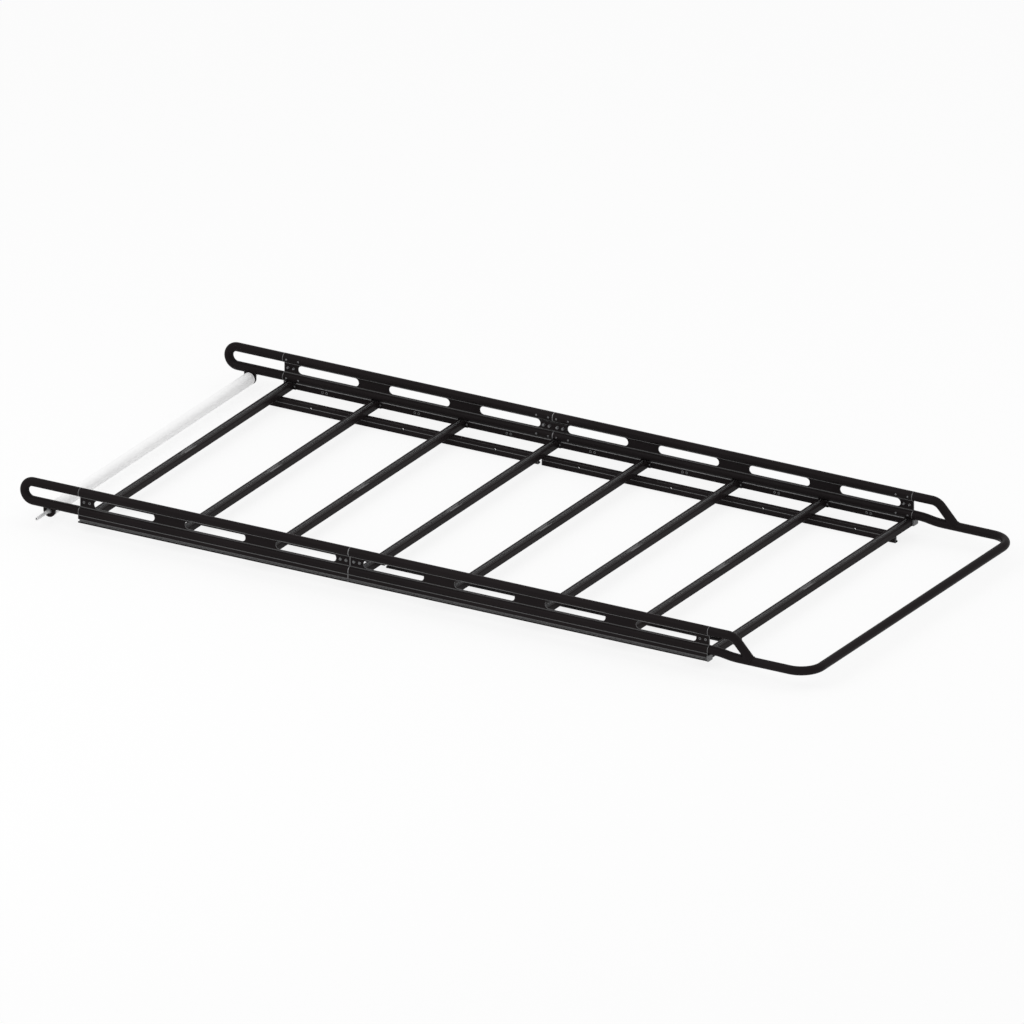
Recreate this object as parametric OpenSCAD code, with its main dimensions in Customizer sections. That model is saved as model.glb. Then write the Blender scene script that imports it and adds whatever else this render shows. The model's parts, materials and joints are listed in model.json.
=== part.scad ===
// Van roof rack: two slotted side rails in two lengths, eight cross bars,
// a loading roller between two rear hoops, and a braced tubular loop in front.
// Millimetres. +X is forwards, +Y is left, +Z is up.

/* [Side rails] */
// Distance between the centre planes of the two side rails
rail_spacing = 1400; // [1100:10:1700]
// Length of the rear half of a side rail
rear_rail_length = 1070; // [900:5:1300]
// Length of the front half of a side rail
front_rail_length = 1425; // [1250:5:1700]
// Outside diameter of the two round bulges of a side rail
bulge_d = 32.5; // [30:0.5:36]
// Height between the centres of the two bulges
bulge_spacing = 69; // [64:1:84]
// Wall of the bulges
bulge_wall = 2.75; // [2:0.25:3.5]
// Thickness of the web between the bulges
web_t = 3; // [2:0.5:5]
// Length of a slot in the web, over its round ends
slot_length = 240; // [180:5:260]
// Height of a slot in the web
slot_height = 30; // [20:1:32]
// Distance from the middle of one slot to the next
slot_pitch = 360; // [340:5:400]
// Least solid web left between a slot and the end of a rail
slot_end_land = 48; // [44:1:52]

/* [Rail foot] */
// How far the foot reaches out from the centre plane of its rail
foot_out = 16; // [15:0.5:20]
// How far the foot reaches in from the centre plane of its rail
foot_in = 7; // [6:0.5:10]
// Depth of the bottom of the foot below the centre of the lower bulge
foot_drop = 38.5; // [36:0.5:46]
// Walls of the foot
foot_wall = 2.5; // [2:0.25:3]
// Width of the mouth of the accessory groove in the foot
groove_mouth = 8; // [6:0.5:9]
// Width of the accessory groove behind its mouth
groove_w = 14; // [11:0.5:15]
// Depth of the accessory groove behind its lips
groove_deep = 7; // [5:0.5:8]
// Diameter of the paired holes in the inner side of the foot
foot_hole_d = 6.6; // [5:0.1:8]
// Distance between the two holes of a pair
foot_hole_gap = 16; // [12:0.5:22]
// Distance from one pair of holes to the next
foot_hole_pitch = 365; // [350:1:380]
// Distance from the rear end of a rail to its first pair of holes, rear half
rear_foot_hole_start = 163; // [140:1:180]
// Distance from the rear end of a rail to its first pair of holes, front half
front_foot_hole_start = 155; // [130:1:170]

/* [Foot ends] */
// Thickness of the cap over the front end of a foot
cap_t = 5; // [3:0.5:8]
// How far that cap stands out past each side of the foot
cap_side = 4.5; // [2:0.5:6]
// Radius of the cap's lower corners
cap_round = 3; // [1:0.5:5]
// Gap between the cap and the tube above it
cap_gap = 1; // [0.5:0.5:3]
// Length of the cap's plug inside the foot
plug_length = 14; // [8:1:30]
// Clearance round that plug
plug_clearance = 0.3; // [0.2:0.05:0.5]

/* [Cross bars] */
// Width of a cross bar
bar_w = 32; // [28:1:40]
// Height of a cross bar
bar_h = 24; // [22:0.5:26]
// Radius of the long edges of a cross bar
bar_round = 3; // [1:0.5:4]
// Wall of a cross bar
bar_wall = 2.5; // [2:0.25:3]
// Width of the mouth of the channel along the top of a cross bar
channel_mouth = 10; // [8:0.5:12]
// Width of the channel behind its mouth
channel_w = 18; // [14:0.5:20]
// Depth of the channel behind its lips
channel_deep = 7; // [5:0.5:8]
// Length of the wide pocket in the middle of the channel
pocket_length = 80; // [40:5:120]
// Distance from the rear end of the rails to the rear face of the first cross bar
first_bar_margin = 10; // [4:1:20]
// Step from the first cross bar to the second
rear_bay_1 = 339; // [300:1:370]
// Step from the second cross bar to the third
rear_bay_2 = 343; // [300:1:370]
// Distance of the fourth cross bar ahead of the joint in the rails
joint_bar_ahead = 7; // [4:1:12]
// Step from the fourth cross bar to the fifth
front_bay_1 = 355.5; // [320:0.5:370]
// Step from the fifth cross bar to the sixth
front_bay_2 = 361.5; // [320:0.5:370]
// Step from the sixth cross bar to the seventh
front_bay_3 = 343; // [320:0.5:370]
// Distance from the front face of the last cross bar to the front end of the rails
last_bar_margin = 0; // [0:1:10]

/* [Cross bar brackets] */
// Thickness of the plate between a cross bar and the foot
bracket_t = 4; // [3:0.5:6]
// How far a bracket reaches past the front of its cross bar
bracket_ear = 8; // [8:0.5:12]
// Length of the tongue inside the end of a cross bar
tongue_length = 40; // [20:1:60]
// Clearance round a tongue inside its cross bar
tongue_clearance = 0.3; // [0.2:0.05:0.5]

/* [Bearers] */
// Height of a bearer under the cross bars
bearer_h = 33; // [28:1:45]
// Width of the web of a bearer
bearer_w = 8; // [6:0.5:10]
// Wall of a bearer
bearer_wall = 2; // [1.5:0.25:2.5]
// Width of the upper flange of a bearer, which carries the cross bars
bearer_top_w = 20; // [12:1:26]
// Thickness of the upper flange of a bearer
bearer_top_t = 3; // [2:0.5:4]
// Width of the lower foot of a bearer
bearer_foot_w = 15; // [11:0.5:20]
// Height of the lower foot of a bearer
bearer_foot_h = 6; // [4:0.5:8]
// Width of the drill line along the inner side of a bearer
drill_line_w = 2.4; // [1:0.2:3]
// Depth of the drill line
drill_line_deep = 0.9; // [0.5:0.1:1.2]
// Distance of the left bearers' inner side from the centre plane of their rail
left_bearer_inset = 104; // [80:1:300]
// Distance of the right rear bearer's inner side from the centre plane of its rail
right_rear_bearer_inset = 258; // [80:1:300]
// Distance of the right front bearer's inner side from the centre plane of its rail
right_front_bearer_inset = 245; // [80:1:300]
// Gap between a rear bearer and a front bearer
bearer_gap = 14; // [6:1:20]
// Distance of the middle of that gap behind the middle of the fourth cross bar
bearer_gap_back = 5; // [0:1:6]
// Distance of the rear end of a bearer ahead of the rear end of the rails
bearer_rear_margin = 0; // [0:1:10]
// Distance of the front end of a bearer behind the front end of the rails
bearer_front_margin = 13.5; // [0:0.5:24]
// Diameter of the mounting holes in the bearers
bearer_hole_d = 8.5; // [6:0.5:10]
// Depth of the mounting holes and of the drill line below the top of a bearer
bearer_hole_drop = 13.5; // [10:0.5:18]

/* [Rail joint] */
// Length of the plate that joins the webs of two rail halves
joint_plate_length = 100; // [92:1:102]
// Height of the joint plate
joint_plate_h = 29; // [20:1:31]
// Thickness of the joint plate
joint_plate_t = 4; // [3:0.5:6]
// Distance from the end of a rail to its first web hole
web_hole_1 = 15.5; // [12:0.5:18]
// Distance from the end of a rail to its second web hole
web_hole_2 = 38; // [34:0.5:40]
// Diameter of the holes in the web
web_hole_d = 6.6; // [5:0.1:8]
// Length of what reaches into the end of a bulge
spigot_length = 75; // [70:1:90]
// Radial clearance of what reaches into a bulge
spigot_clearance = 0.15; // [0.1:0.05:0.3]
// Length over which a bent tube narrows inside, up to the shoulder at its end
swage_length = 8; // [4:1:8]
// Gap that a weld fills between a brace and the tube that it is coped to
weld_gap = 0.05; // [0.05:0.05:0.3]

/* [Bent tubes] */
// Outside diameter of the tubes of the hoops, the loop and the braces
tube_d = 32; // [29:0.5:36]
// Wall of the tubes
tube_wall = 2.5; // [2:0.25:3.5]
// How much a bend takes off the inside and off the outside of a tube's wall
bend_thinning = 0.1; // [0.05:0.05:0.2]

/* [Rear hoops] */
// Distance from the rear end of the rails to the start of the rear bend
hoop_straight = 186; // [170:1:260]

/* [Roller] */
// Outside diameter of the roller
roller_d = 45; // [38:0.5:50]
// Wall of the roller
roller_wall = 2; // [1.5:0.25:3]
// Distance of the roller's axis behind the rear end of the rails
roller_behind = 129; // [118:1:150]
// Distance of the roller's axis below the centre of the lower bulge
roller_below = 30; // [28:0.5:34]
// Gap between an end of the roller and its bracket
roller_end_gap = 5; // [5:0.5:12]
// Diameter of the spindle
spindle_d = 12; // [10:0.5:16]
// How far the spindle reaches past the centre plane of each rail
spindle_out = 77; // [40:1:90]
// Diameter of the hole in each end of the spindle
spindle_hole_d = 6.8; // [5:0.1:8]
// Depth of the hole in each end of the spindle
spindle_hole_deep = 25; // [15:1:40]
// Radial clearance of the roller's bushes on the spindle
bush_clearance = 0.05; // [0.03:0.01:0.1]
// Length of a bush inside the end of the roller
bush_length = 20; // [12:1:30]
// Thickness of a roller bracket
lug_t = 6; // [4:0.5:8]
// Distance of a roller bracket's outer side inside the centre plane of its rail
lug_in = 9; // [8:0.5:10]
// Width of a roller bracket
lug_w = 46; // [40:1:60]
// Radial clearance of the spindle in its brackets
spindle_clearance = 0.1; // [0.05:0.05:0.3]

/* [Front loop] */
// Distance from the front end of the rails to the centre of the loop's cross tube
loop_reach = 397; // [340:1:460]
// Bend radius of the loop's two corners, at the centre of the tube
loop_corner_r = 80; // [60:1:110]
// How far the loop drops in its two side bends
loop_drop = 9; // [4:0.5:16]
// Straight length of the loop ahead of the rails, before it drops
loop_lead = 15; // [8:1:40]
// Length over which the loop drops
loop_drop_length = 100; // [80:1:130]
// Straight length of a brace ahead of the rails
brace_straight = 73; // [50:1:90]
// Bend radius of a brace, at the centre of the tube
brace_r = 50; // [40:1:70]
// Angle that a brace bends down
brace_angle = 47.6; // [42:0.2:55]

/* [Hidden] */
$fn = 96;
eps = 0.5;
coat = "#231f20";
bare_metal = "#dcdcdc";

right = -1;
left = 1;
rail_length = rear_rail_length + front_rail_length;
half_spacing = rail_spacing / 2;

// Ends of the rack along X, measured from the rear end of the rails
hoop_r = bulge_spacing / 2;
back_end = -hoop_straight - hoop_r - tube_d / 2;
front_end = rail_length + loop_reach + tube_d / 2;

// The rack stands on its bearers, with the origin under the middle of its length
rest_z = foot_drop + bearer_h;
origin_x = -(back_end + front_end) / 2;

// Sections of the bulges and of what reaches into them
bore_d = bulge_d - 2 * bulge_wall;
spigot_d = bore_d - 2 * spigot_clearance;
spigot_wall = tube_wall;
bend_lap = 0.5;

// Foot of a side rail: it starts inside the lower bulge, this share of its diameter below its centre
foot_rise = 0.3;
foot_top = foot_rise * bulge_d;
groove_z = -foot_drop + foot_wall + groove_w / 2;
groove_back = foot_out - foot_wall - groove_deep;
chamber_w = groove_back + foot_in - 2 * foot_wall;
chamber_top = -bulge_d / 2 - foot_wall;
chamber_h = foot_drop + chamber_top - foot_wall;
foot_hole_z = chamber_top - chamber_h / 2;

// Cross bars lie against the inner sides of the feet, flush with their bottoms
bar_bottom = -foot_drop;
bar_top = bar_bottom + bar_h;
bar_half = half_spacing - foot_in - bracket_t;
first_bar = first_bar_margin + bar_w / 2;
joint_bar = rear_rail_length + joint_bar_ahead;
bar_x = [first_bar,
         first_bar + rear_bay_1,
         first_bar + rear_bay_1 + rear_bay_2,
         joint_bar,
         joint_bar + front_bay_1,
         joint_bar + front_bay_1 + front_bay_2,
         joint_bar + front_bay_1 + front_bay_2 + front_bay_3,
         rail_length - last_bar_margin - bar_w / 2];
bar_chamber_h = bar_h - 3 * bar_wall - channel_deep;

// Bearers under the cross bars
bearer_top = bar_bottom;
bearer_split = rear_rail_length + joint_bar_ahead - bearer_gap_back - bearer_gap / 2;

// Roller between the rear hoops
roller_x = -roller_behind;
roller_z = -roller_below;
lug_inner = half_spacing - lug_in - lug_t;
roller_half = lug_inner - roller_end_gap;
bush_bore_d = spindle_d + 2 * bush_clearance;
bush_d = roller_d - 2 * roller_wall;

// Drop of the front loop: two equal bends that meet halfway
drop_angle = 2 * atan(loop_drop / loop_drop_length);
drop_r = loop_drop_length / 2 / sin(drop_angle);

// Brace: the run that is left after its bend ends on the centre of the loop's side tube
brace_fall = bulge_spacing + loop_drop - brace_r * (1 - cos(brace_angle));
brace_run = brace_fall / sin(brace_angle);

function slot_count(length) = floor((length - 2 * slot_end_land - slot_length) / slot_pitch) + 1;
function slot_start(length) = (length - (slot_count(length) - 1) * slot_pitch) / 2;
function pair_count(length, start) = floor((length - start - foot_hole_gap) / foot_hole_pitch) + 1;

// Everything below is drawn from the rear end of the rails and the centre of the lower bulge
module place() translate([origin_x, 0, rest_z]) children();

// Puts a piece drawn for the left side, with +Y outwards, on one side of the rack
module on_side(side) {
    if (side == right) mirror([0, 1, 0]) translate([0, half_spacing, 0]) children();
    else translate([0, half_spacing, 0]) children();
}

// A flat shape in Y and Z, drawn as X and Y, run along X
module along_x(length) rotate([90, 0, 90]) linear_extrude(length) children();

// A round bar or hole along Y, from y = 0 outwards
module along_y(d, length) rotate([-90, 0, 0]) cylinder(d = d, h = length);

module ring(d, wall) {
    difference() {
        circle(d = d);
        circle(d = d - 2 * wall);
    }
}

// Section of a side rail, with +X outwards
module rail_section() {
    difference() {
        union() {
            circle(d = bulge_d);
            translate([0, bulge_spacing]) circle(d = bulge_d);
            translate([-web_t / 2, 0]) square([web_t, bulge_spacing]);
            translate([-foot_in, -foot_drop]) square([foot_in + foot_out, foot_drop - foot_top]);
        }
        circle(d = bore_d);
        translate([0, bulge_spacing]) circle(d = bore_d);
        translate([groove_back, groove_z - groove_w / 2]) square([groove_deep, groove_w]);
        translate([groove_back, groove_z - groove_mouth / 2])
            square([foot_out - groove_back + eps, groove_mouth]);
        translate([-foot_in + foot_wall, -foot_drop + foot_wall]) square([chamber_w, chamber_h]);
    }
}

module slot_shape(length, height) {
    translate([-(length - height) / 2, 0]) circle(d = height);
    translate([(length - height) / 2, 0]) circle(d = height);
    square([length - height, height], center = true);
}

// One length of side rail, from x = 0
module rail_length_piece(length, pair_start) {
    mid_z = bulge_spacing / 2;
    difference() {
        along_x(length) rail_section();
        for (i = [0 : slot_count(length) - 1])
            translate([slot_start(length) + i * slot_pitch, web_t, mid_z])
                rotate([90, 0, 0]) linear_extrude(2 * web_t) slot_shape(slot_length, slot_height);
        for (x = [web_hole_1, web_hole_2, length - web_hole_2, length - web_hole_1])
            translate([x, -web_t, mid_z]) along_y(web_hole_d, 2 * web_t);
        for (i = [0 : pair_count(length, pair_start) - 1], s = [-1, 1])
            translate([pair_start + i * foot_hole_pitch + s * foot_hole_gap / 2,
                       -foot_in - eps, foot_hole_z])
                along_y(foot_hole_d, foot_wall + 2 * eps);
    }
}

module side_rail_rear(side) {
    color(coat) place() on_side(side) rail_length_piece(rear_rail_length, rear_foot_hole_start);
}

module side_rail_front(side) {
    color(coat) place() on_side(side) translate([rear_rail_length, 0, 0])
        rail_length_piece(front_rail_length, front_foot_hole_start);
}

// Cap over the front end of a foot, with a plug inside the foot's hollow
module foot_cap(side) {
    w = foot_in + foot_out + 2 * cap_side;
    top = -tube_d / 2 - cap_gap;
    color(coat) place() on_side(side) translate([rail_length, -foot_in, -foot_drop]) {
        along_x(cap_t) translate([-cap_side, 0]) {
            for (x = [cap_round, w - cap_round]) translate([x, cap_round]) circle(r = cap_round);
            translate([cap_round, 0]) square([w - 2 * cap_round, foot_drop + top]);
            translate([0, cap_round]) square([w, foot_drop + top - cap_round]);
        }
        translate([-plug_length, 0, 0]) along_x(plug_length)
            translate([foot_wall + plug_clearance, foot_wall + plug_clearance])
                square([chamber_w - 2 * plug_clearance, chamber_h - 2 * plug_clearance]);
    }
}

// Section of a cross bar, with its bottom on y = 0
module bar_section() {
    difference() {
        union() {
            for (s = [-1, 1], y = [bar_round, bar_h - bar_round])
                translate([s * (bar_w / 2 - bar_round), y]) circle(r = bar_round);
            translate([-bar_w / 2, bar_round]) square([bar_w, bar_h - 2 * bar_round]);
            translate([-bar_w / 2 + bar_round, 0]) square([bar_w - 2 * bar_round, bar_h]);
        }
        translate([-channel_w / 2, bar_h - bar_wall - channel_deep]) square([channel_w, channel_deep]);
        translate([-channel_mouth / 2, bar_h - bar_wall - eps]) square([channel_mouth, bar_wall + 2 * eps]);
        translate([-bar_w / 2 + bar_wall, bar_wall]) square([bar_w - 2 * bar_wall, bar_chamber_h]);
    }
}

module cross_bar(n) {
    color(coat) place() translate([bar_x[n - 1], bar_half, bar_bottom]) difference() {
        rotate([90, 0, 0]) linear_extrude(2 * bar_half) bar_section();
        translate([-channel_w / 2, -bar_half - pocket_length / 2, bar_h - bar_wall - eps])
            cube([channel_w, pocket_length, bar_wall + 2 * eps]);
    }
}

// Plates that hold the ends of the cross bars to a foot, each with a tongue inside its bar
module bar_brackets(side) {
    tongue_w = bar_w - 2 * bar_wall - 2 * tongue_clearance;
    tongue_h = bar_chamber_h - 2 * tongue_clearance;
    color(coat) place() on_side(side) for (n = [0 : len(bar_x) - 1]) {
        ear = n == len(bar_x) - 1 ? 0 : bracket_ear;
        translate([bar_x[n] - bar_w / 2, -foot_in - bracket_t, bar_bottom]) {
            cube([bar_w + ear, bracket_t, bar_h]);
            translate([bar_wall + tongue_clearance, -tongue_length, bar_wall + tongue_clearance])
                cube([tongue_w, tongue_length, tongue_h]);
        }
    }
}

// Section of a bearer, with its top on y = 0 and its inner side on x = 0
module bearer_section() {
    difference() {
        union() {
            translate([0, -bearer_h]) square([bearer_w, bearer_h]);
            translate([0, -bearer_top_t]) square([bearer_top_w, bearer_top_t]);
            translate([0, -bearer_h]) square([bearer_foot_w, bearer_foot_h]);
        }
        translate([0, -bearer_hole_drop])
            polygon([[0, -drill_line_w / 2], [drill_line_deep, 0], [0, drill_line_w / 2]]);
        translate([bearer_wall, -bearer_h + bearer_foot_h])
            square([bearer_w - 2 * bearer_wall, bearer_h - bearer_foot_h - bearer_top_t]);
    }
}

module bearer(side, inset, x_from, x_to, hole_from) {
    color(coat) place() on_side(side) translate([0, -inset, bearer_top]) difference() {
        translate([x_from, 0, 0]) along_x(x_to - x_from) bearer_section();
        for (i = [0 : pair_count(x_to - x_from, hole_from - x_from) - 1])
            translate([hole_from + i * foot_hole_pitch, -eps, -bearer_hole_drop])
                along_y(bearer_hole_d, bearer_w + 2 * eps);
    }
}

module bearer_rear(side, inset)
    bearer(side, inset, bearer_rear_margin, bearer_split, rear_foot_hole_start);

module bearer_front(side, inset)
    bearer(side, inset, bearer_split + bearer_gap, rail_length - bearer_front_margin,
           rear_rail_length + front_foot_hole_start);

// Plate on the inner side of the webs, across the joint between two rail halves
module joint_plate(side) {
    color(coat) place() on_side(side)
        translate([rear_rail_length, -web_t / 2 - joint_plate_t, bulge_spacing / 2]) difference() {
            translate([-joint_plate_length / 2, 0, -joint_plate_h / 2])
                cube([joint_plate_length, joint_plate_t, joint_plate_h]);
            for (s = [-1, 1], x = [web_hole_1, web_hole_2])
                translate([s * x, -eps, 0]) along_y(web_hole_d, joint_plate_t + 2 * eps);
        }
}

// Sleeves inside the bulges, across the joint between two rail halves
module joint_sleeves(side) {
    color(coat) place() on_side(side) for (z = [0, bulge_spacing])
        translate([rear_rail_length - spigot_length, 0, z])
            along_x(2 * spigot_length) ring(spigot_d, spigot_wall);
}

// Straight tube along +X from x = 0, lapping over the bends before and after it
module straight_tube(length, before = 0, after = 0)
    translate([-before, 0, 0]) along_x(length + before + after) ring(tube_d, tube_wall);

// Swaged end: the tube narrows inside over the last stretch before x = 0,
// steps down outside at x = 0, and runs on along +X to slide into a bulge
module spigot() {
    narrow_r = spigot_d / 2 - spigot_wall;
    rotate([0, 90, 0]) rotate_extrude() polygon([
        [tube_d / 2, -swage_length], [tube_d / 2, 0], [spigot_d / 2, 0],
        [spigot_d / 2, spigot_length], [narrow_r, spigot_length], [narrow_r, 0],
        [tube_d / 2 - tube_wall, -swage_length]]);
}

// Bend that starts along +X at the origin and turns towards +Z
module bend(r, angle) {
    translate([0, 0, r]) rotate([90, 0, 0]) rotate([0, 0, -90]) rotate_extrude(angle = angle)
        translate([r, 0]) ring(tube_d - 2 * bend_thinning, tube_wall - 2 * bend_thinning);
}

// Moves to the end of a bend, where the tube runs on along its own +X
module past_bend(r, angle) translate([0, 0, r]) rotate([0, -angle, 0]) translate([0, 0, -r]) children();

// Hoop behind one rail: two legs and a half turn
module rear_hoop(side) {
    color(coat) place() on_side(side) {
        for (z = [0, bulge_spacing]) translate([0, 0, z]) {
            spigot();
            translate([-hoop_straight, 0, 0])
                straight_tube(hoop_straight - swage_length, before = bend_lap);
        }
        translate([-hoop_straight, 0, 0]) mirror([1, 0, 0]) bend(hoop_r, 180);
    }
}

// Plate on the lower leg of a hoop that carries one end of the spindle
module roller_bracket(side) {
    color(coat) place() on_side(side) difference() {
        translate([roller_x, -lug_in, roller_z]) rotate([90, 0, 0]) linear_extrude(lug_t) {
            circle(d = lug_w);
            translate([-lug_w / 2, 0]) square([lug_w, roller_below]);
        }
        translate([-hoop_straight, 0, 0]) along_x(hoop_straight) circle(d = tube_d);
        translate([roller_x, -lug_in - lug_t - eps, roller_z])
            along_y(spindle_d + 2 * spindle_clearance, lug_t + 2 * eps);
    }
}

module roller_spindle() {
    reach = half_spacing + spindle_out;
    color(bare_metal) place() translate([roller_x, -reach, roller_z]) difference() {
        along_y(spindle_d, 2 * reach);
        for (y = [-eps, 2 * reach - spindle_hole_deep])
            translate([0, y, 0]) along_y(spindle_hole_d, spindle_hole_deep + eps);
    }
}

module roller_tube() {
    color(bare_metal) place() translate([roller_x, -roller_half, roller_z])
        rotate([-90, 0, 0]) linear_extrude(2 * roller_half) ring(roller_d, roller_wall);
}

module roller_bushes() {
    color(bare_metal) place() for (y = [-roller_half, roller_half - bush_length])
        translate([roller_x, y, roller_z]) rotate([-90, 0, 0]) linear_extrude(bush_length)
            ring(bush_d, (bush_d - bush_bore_d) / 2);
}

// Half of the front loop, from the end of a rail to the middle of its cross tube
module half_loop() {
    side_run = loop_reach - loop_corner_r - loop_lead - loop_drop_length;
    mirror([1, 0, 0]) spigot();
    translate([swage_length, 0, 0]) straight_tube(loop_lead - swage_length, after = bend_lap);
    translate([loop_lead, 0, 0]) rotate([180, 0, 0]) {
        bend(drop_r, drop_angle);
        past_bend(drop_r, drop_angle) rotate([180, 0, 0]) {
            straight_tube(0, before = bend_lap, after = bend_lap);
            bend(drop_r, drop_angle);
            past_bend(drop_r, drop_angle) {
                straight_tube(side_run, before = bend_lap, after = bend_lap);
                translate([side_run, 0, 0]) rotate([90, 0, 0]) {
                    bend(loop_corner_r, 90);
                    past_bend(loop_corner_r, 90)
                        straight_tube(half_spacing - loop_corner_r, before = bend_lap, after = bend_lap);
                }
            }
        }
    }
}

module front_loop() {
    color(coat) place() for (side = [right, left]) on_side(side)
        translate([rail_length, 0, 0]) half_loop();
}

// Brace from an upper bulge down to the side tube of the front loop, and coped to it
module front_brace(side) {
    color(coat) place() on_side(side) translate([rail_length, 0, 0]) difference() {
        translate([0, 0, bulge_spacing]) {
            mirror([1, 0, 0]) spigot();
            translate([swage_length, 0, 0])
                straight_tube(brace_straight - swage_length, after = bend_lap);
            translate([brace_straight, 0, 0]) rotate([180, 0, 0]) {
                bend(brace_r, brace_angle);
                past_bend(brace_r, brace_angle) straight_tube(brace_run, before = bend_lap);
            }
        }
        translate([brace_straight, 0, -loop_drop])
            along_x(loop_reach - loop_corner_r - brace_straight) circle(d = tube_d + 2 * weld_gap);
    }
}

side_rail_rear(right);  // right_side_rail_rear
side_rail_front(right);  // right_side_rail_front
side_rail_rear(left);  // left_side_rail_rear
side_rail_front(left);  // left_side_rail_front
cross_bar(1);  // cross_bar_1
cross_bar(2);  // cross_bar_2
cross_bar(3);  // cross_bar_3
cross_bar(4);  // cross_bar_4
cross_bar(5);  // cross_bar_5
cross_bar(6);  // cross_bar_6
cross_bar(7);  // cross_bar_7
cross_bar(8);  // cross_bar_8
bar_brackets(right);  // right_bar_brackets
bar_brackets(left);  // left_bar_brackets
bearer_rear(right, right_rear_bearer_inset);  // right_bearer_rear
bearer_front(right, right_front_bearer_inset);  // right_bearer_front
bearer_rear(left, left_bearer_inset);  // left_bearer_rear
bearer_front(left, left_bearer_inset);  // left_bearer_front
foot_cap(right);  // right_foot_cap
foot_cap(left);  // left_foot_cap
joint_plate(right);  // right_joint_plate
joint_plate(left);  // left_joint_plate
joint_sleeves(right);  // right_joint_sleeves
joint_sleeves(left);  // left_joint_sleeves
rear_hoop(right);  // right_rear_hoop
rear_hoop(left);  // left_rear_hoop
roller_bracket(right);  // right_roller_bracket
roller_bracket(left);  // left_roller_bracket
roller_spindle();
roller_tube();
roller_bushes();
front_loop();
front_brace(right);  // right_front_brace
front_brace(left);  // left_front_brace
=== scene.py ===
"""Finish of a van roof rack: powder coats, bare metal, fasteners, welds and the studio round it.

The pieces of the rack come from the frame. This file adds what fastens them, and gives every
surface its finish.
"""

import json
import math
from types import SimpleNamespace
from typing import NamedTuple

import bmesh
import bpy
from mathutils import Matrix, Vector


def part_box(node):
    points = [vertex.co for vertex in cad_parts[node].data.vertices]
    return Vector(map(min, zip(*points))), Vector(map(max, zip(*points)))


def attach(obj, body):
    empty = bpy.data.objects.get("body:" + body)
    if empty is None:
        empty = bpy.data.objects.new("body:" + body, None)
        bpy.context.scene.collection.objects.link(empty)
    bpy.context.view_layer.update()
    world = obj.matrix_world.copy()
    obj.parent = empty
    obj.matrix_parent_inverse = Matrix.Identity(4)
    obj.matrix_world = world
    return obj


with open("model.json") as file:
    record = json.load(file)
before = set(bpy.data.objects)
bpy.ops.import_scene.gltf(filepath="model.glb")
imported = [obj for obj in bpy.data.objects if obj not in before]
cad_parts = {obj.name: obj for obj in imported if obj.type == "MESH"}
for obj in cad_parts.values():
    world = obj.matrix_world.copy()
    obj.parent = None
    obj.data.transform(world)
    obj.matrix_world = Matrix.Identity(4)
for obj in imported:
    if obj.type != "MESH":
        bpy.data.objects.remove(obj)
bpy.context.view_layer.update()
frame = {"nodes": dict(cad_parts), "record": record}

bl_info = {
    "name": "Van Roof Rack",
    "version": (1, 0, 0),
    "blender": (4, 5, 0),
    "location": "View3D > Sidebar > Roof Rack",
    "description": "Finishes, fasteners, welds and studio for a van roof rack",
    "category": "Object",
}

MM = 0.001
SIDES = {"right": -1, "left": 1}
RAIL_HALVES = ("rear", "front")
BAR_COUNT = 8
RACK = "rack"
UP = Vector((0, 0, 1))
WHITE = (1, 1, 1)


# Sizes read from the frame


def middle(low, high, axis):
    return (low[axis] + high[axis]) / 2


def rail_places(side):
    """Where one side rail, its bulges and its web lie. Outwards is out * Y."""
    rear_low, rear_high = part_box(f"{side}_side_rail_rear")
    hoop_low, hoop_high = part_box(f"{side}_rear_hoop")
    plate_low, plate_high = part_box(f"{side}_joint_plate")
    out = SIDES[side]
    centre_y = middle(rear_low, rear_high, 1)
    tube_r = (hoop_high.y - hoop_low.y) / 2
    web_inner = plate_high.y if out > 0 else plate_low.y
    return SimpleNamespace(
        out=out,
        rear=rear_low.x,
        joint=rear_high.x,
        front=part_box(f"{side}_side_rail_front")[1].x,
        y=centre_y,
        foot_z=rear_low.z,
        low_z=hoop_low.z + tube_r,
        high_z=hoop_high.z - tube_r,
        bulge_r=(rear_high.y - rear_low.y) / 2,
        tube_r=tube_r,
        web_inner=web_inner,
        web_outer=2 * centre_y - web_inner,
        plate_inner=plate_low.y if out > 0 else plate_high.y,
    )


def rail_holes(side, pattern):
    """Centre and diameter of each hole of one rail's pairs of holes of one kind."""
    found = []
    for mount in frame["record"]["mounts"]:
        if mount["name"].startswith(f"{side}_rail_") and pattern in mount["name"]:
            dims = mount["dims"]
            half_gap = Vector((dims["spacing_x_mm"] * MM / 2, 0, 0))
            centres = [Vector(mount["pos_m"]) + sign * half_gap for sign in (-1, 1)]
            found += [(centre, 2 * dims["hole_r_mm"] * MM) for centre in centres]
    return found


# Settings that a user would change


def length(name, description, default):
    return bpy.props.FloatProperty(
        name=name,
        description=description,
        default=default,
        min=0,
        unit="LENGTH",
        subtype="DISTANCE",
        precision=4,
    )


def colour(name, description, default):
    return bpy.props.FloatVectorProperty(
        name=name, description=description, default=default, size=3, min=0, max=1, subtype="COLOR"
    )


def spot(name, description, default):
    return bpy.props.FloatVectorProperty(
        name=name, description=description, default=default, size=3, unit="LENGTH", subtype="TRANSLATION"
    )


def share(name, description, default):
    return bpy.props.FloatProperty(
        name=name, description=description, default=default, min=0, max=1, subtype="FACTOR"
    )


def angle(name, description, default):
    return bpy.props.FloatProperty(
        name=name, description=description, default=math.radians(default), subtype="ANGLE"
    )


def power(name, description, default):
    return bpy.props.FloatProperty(name=name, description=description, default=default, unit="POWER")


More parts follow.
